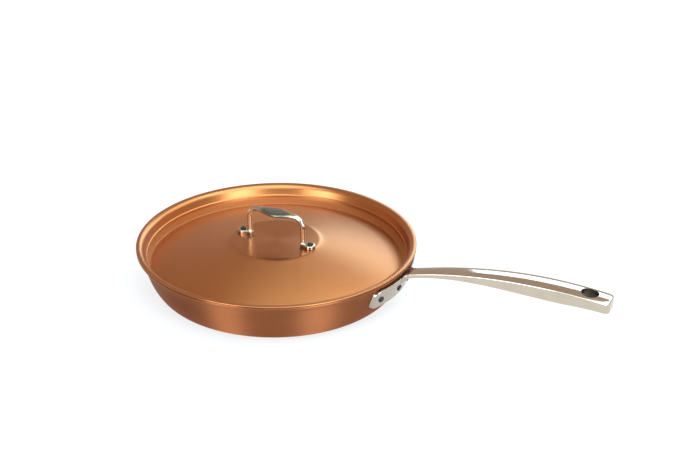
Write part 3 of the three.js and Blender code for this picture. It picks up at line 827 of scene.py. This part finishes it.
for x, z, dx, dz in spine:
    leaf = math.sin(max(0, 1 - abs(x) / leaf_reach) * math.pi / 2) ** 2
    above = 1
    if abs(abs(x) - LEG_AT) < 0.01:
        above = min(max((z - leg_foot - LEG_SINK) / LEG_FILLET, 0), 1)
    foot = LEG_FILLET * (1 - math.sqrt(1 - (1 - above) ** 2))
    half_width = mix(LEG_RADIUS, GRIP_WIDTH / 2, leaf) + foot
    half_thickness = mix(LEG_RADIUS, GRIP_THICKNESS / 2, leaf) + foot
    power = mix(1, LEAF_SQUARENESS, leaf)
    ring = []
    for i in range(RING_POINTS):
        turn = 2 * math.pi * i / RING_POINTS
        lift = math.copysign(abs(math.cos(turn)) ** power, math.cos(turn)) * half_thickness
        side = -math.copysign(abs(math.sin(turn)) ** power, math.sin(turn)) * half_width
        ring.append((x - dz * lift, side, z + dx * lift))
    rings.append(ring)
lid_handle = show("lid_handle_casting", *skin_rings(rings), CAST_FOLD)


def lug_ring(side, inset, height):
    """A lug's outline at a height: round about the rivet, narrowing to the foot of its leg."""
    lean = math.degrees(math.asin((LUG_RADIUS - LUG_FOOT_RADIUS) / (LID_RIVET_AT - LEG_AT)))
    points = arc((LID_RIVET_AT, 0), LUG_RADIUS - inset, -90 - lean, 90 + lean, LUG_ROUND_STEPS)
    foot = LUG_FOOT_RADIUS - inset
    points += arc((LEG_AT, 0), foot, 90 + lean, 270 - lean, LUG_FOOT_STEPS)
    return [(p.x * side, p.y * side, height) for p in points]


for side in (1, -1):
    rings = [lug_ring(side, 0, lug_foot)]
    for i in range(LUG_EDGE_STEPS + 1):
        turn = math.radians(90 * i / LUG_EDGE_STEPS)
        rise = LUG_EDGE_RADIUS * (math.sin(turn) - 1)
        inset = LUG_EDGE_RADIUS * (1 - math.cos(turn))
        rings.append(lug_ring(side, inset, lug_foot + LUG_THICKNESS + rise))
    combine(lid_handle, show("lug", *skin_rings(rings), CAST_FOLD), "UNION")

lid_turn = Matrix.Rotation(math.radians(LID_TURN), 4, "Z")
lid_grip = LID_SHEET + SEAT_GAP + LUG_THICKNESS
lid_rivet_seats = []
for side in (-1, 1):
    seat = (side * LID_RIVET_AT / 1000, 0, (plateau_height - LID_SHEET) / 1000)
    place = Matrix.Translation(seat)
    lid_rivet_seats.append(lid_turn @ place)
    bore = LID_RIVET_RADIUS + RIVET_HOLE_GAP
    drill(lid_handle, place, bore, lid_grip, start=0, sink=0.2, flare=0.4, past=3)
lid_handle.data.transform(lid_turn)
lid_handle.data.shade_smooth()
lid_handle.data.set_sharp_from_angle(angle=math.radians(CAST_FOLD))

# Cast stainless steel with a matt grip: bright legs and lugs, and in the middle of the leaf a
# rougher field with soft highlights, painted a darker, greener grey as shade.
matt_shaded_field = dict(reach=0, lean=0, radius=13, blend=5, colour="#747568", roughness=0.24)
grip_steel = polished_casting(
    "cast_stainless_matt_shaded_grip", "#B5A997", "#BDB19F", roughness=0.11, dull_shaded_fields=(matt_shaded_field,)
)
finish_piece(lid_handle, grip_steel, "lid", "cast_steel", "lid_handle")

# The lid's rivets are of the same dark steel. They stand upright through the lugs and the sheet,
# with low heads under the lid.
for count, place in enumerate(lid_rivet_seats, 1):
    outline = rivet_outline(LID_RIVET_RADIUS, lid_grip)
    rivet = spin("lid_rivet_piece_%d" % count, outline, RIVET_STEPS)
    rivet.data.transform(place)
    finish_piece(rivet, upset_steel, "lid", "rivet_steel", "lid_rivet_%d" % count)

# The floor is a wide sheet of pale seamless paper, laid flat under the pan. From here on sizes are
# in metres.
FLOOR_REACH = 6
PAPER_GLOW = 0.76
corners = [(x * FLOOR_REACH, y * FLOOR_REACH, 0) for x, y in ((-1, -1), (1, -1), (1, 1), (-1, 1))]
floor_mesh = bpy.data.meshes.new("floor")
floor_mesh.from_pydata(corners, [], [[0, 1, 2, 3]])
floor = bpy.data.objects.new("floor", floor_mesh)
bpy.context.scene.collection.objects.link(floor)

# White seamless paper: a matt white ground with a faint soft shadow. It glows only where it is
# seen, directly or in metal, and is grey to the light that it throws back.
paper = bpy.data.materials.new("white_seamless_paper")
paper.use_nodes = True
sheet = paper.node_tree
sheet.nodes.clear()
path = add(sheet, "ShaderNodeLightPath").outputs
seen = path["Is Camera Ray"]
for ray in ("Is Glossy Ray", "Is Transmission Ray"):
    seen = add(sheet, "ShaderNodeMath", {0: seen, 1: path[ray]}, operation="MAXIMUM").outputs[0]
strength = add(sheet, "ShaderNodeMath", {0: seen, 1: PAPER_GLOW}, operation="MULTIPLY").outputs[0]
glow = add(sheet, "ShaderNodeEmission", {"Color": linear("#FFFFFF"), "Strength": strength})
matt = add(sheet, "ShaderNodeBsdfDiffuse", {"Color": linear("#7C7C7C")})
both = add(sheet, "ShaderNodeAddShader", {0: glow.outputs[0], 1: matt.outputs[0]})
add(sheet, "ShaderNodeOutputMaterial", {"Surface": both.outputs[0]})
floor.data.materials.append(paper)


# The studio is pale and warm all round, with cool soft boxes: one behind the pan, one at its far
# right, one overhead and one low at each side in front.
def soft_box(name, place, size, power, colour, roll=0):
    """A rectangular soft light that faces the pan."""
    light = bpy.data.lights.new(name, "AREA")
    light.shape = "RECTANGLE"
    light.size, light.size_y = size
    light.energy = power
    light.color = linear(colour)[:3]
    lamp = bpy.data.objects.new(name, light)
    lamp.location = place
    facing = (Vector((0, 0, 0.04)) - Vector(place)).to_track_quat("-Z", "Y")
    lamp.rotation_euler = (facing @ Quaternion((0, 0, 1), math.radians(roll))).to_euler()
    bpy.context.scene.collection.objects.link(lamp)


soft_box("back_box", (0.251, 2.142, 1.046), (2.1, 0.9), 24, "#BCE6FF")
soft_box("side_box", (0.945, 0.996, 1.49), (1.46, 1.15), 16, "#DDF0FF", 15)
soft_box("top_box", (0.559, -0.44, 1.9), (2.5, 2.3), 84, "#C2E6FF")
soft_box("left_box", (-0.56, -1.82, 0.6), (0.9, 1.1), 30, "#DDF0FF")
soft_box("right_box", (1.58, -1.05, 0.6), (0.9, 1.1), 30, "#DDF0FF")

world = bpy.data.worlds.new("studio")
world.use_nodes = True
air = world.node_tree
air.nodes.clear()
direction = add(air, "ShaderNodeTexCoord").outputs["Generated"]
rise = add(air, "ShaderNodeSeparateXYZ", {0: direction}).outputs["Z"]
band = add(air, "ShaderNodeMapRange", {0: rise, 1: 0.0, 2: 0.3}, interpolation_type="SMOOTHSTEP")
tints = {0: band.outputs[0], 6: linear("#CEBEB2"), 7: linear("#CABAB0")}
tint = add(air, "ShaderNodeMix", tints, data_type="RGBA").outputs[2]
sky = add(air, "ShaderNodeBackground", {"Color": tint, "Strength": 1})
add(air, "ShaderNodeOutputWorld", {"Surface": sky.outputs[0]})
bpy.context.scene.world = world
bpy.context.scene.view_settings.view_transform = "Standard"

# The camera stands to the front right of the pan and above it, and looks down on the lid through
# a long lens.
view = bpy.data.cameras.new("camera")
view.sensor_fit = "HORIZONTAL"
view.sensor_width = 36
view.lens = 97.74
view.clip_end = 50
camera = bpy.data.objects.new("camera", view)
camera.location = (0.7034, -1.5217, 0.8784)
camera.rotation_euler = (math.radians(64.01), 0, math.radians(22.5))
bpy.context.scene.collection.objects.link(camera)
bpy.context.scene.camera = camera
